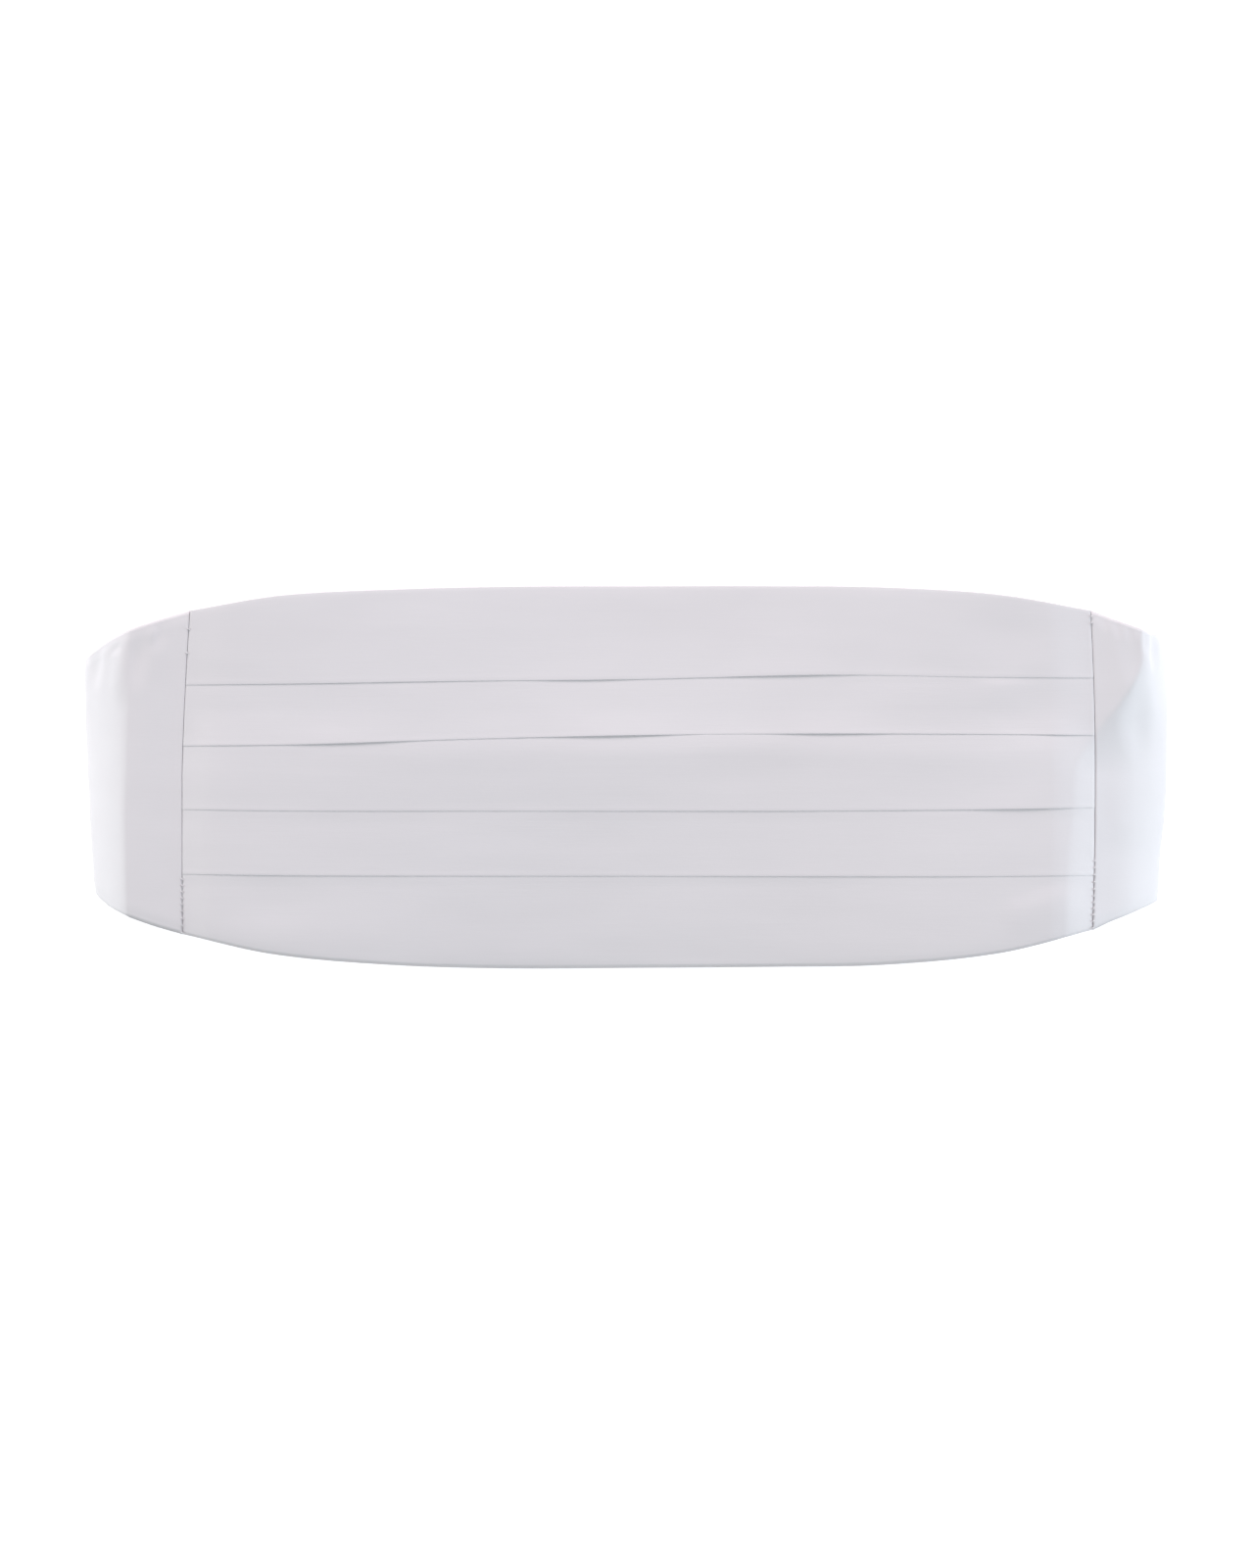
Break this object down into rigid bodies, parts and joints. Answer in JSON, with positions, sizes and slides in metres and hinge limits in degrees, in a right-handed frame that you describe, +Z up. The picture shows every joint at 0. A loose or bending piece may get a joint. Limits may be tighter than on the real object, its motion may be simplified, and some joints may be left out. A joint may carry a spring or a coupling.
{
  "type": "cummerbund",
  "caption": "Pleated satin waist sash fastened into a loop by a back strap, lying flat on its back with the front up",
  "frame": {"origin": "on the surface the sash lies on, under the middle of its bounding box", "axes": "+X along the sash to its right end as seen from the front, +Y across the pleats to the upper edge, +Z up out of the front face"},
  "size_m": [0.3408, 0.1201, 0.0367],
  "materials": {
    "satin": "white satin with a soft sheen",
    "webbing": "white woven elastic, matt",
    "clasp_plastic": "plain white, smooth"
  },
  "bodies": {
    "root": {"pleated_front": "satin", "end_tab_left": "satin", "end_tab_right": "satin", "back_strap_left": "webbing", "back_strap_right": "webbing", "clasp": "clasp_plastic"}
  },
  "joints": []
}
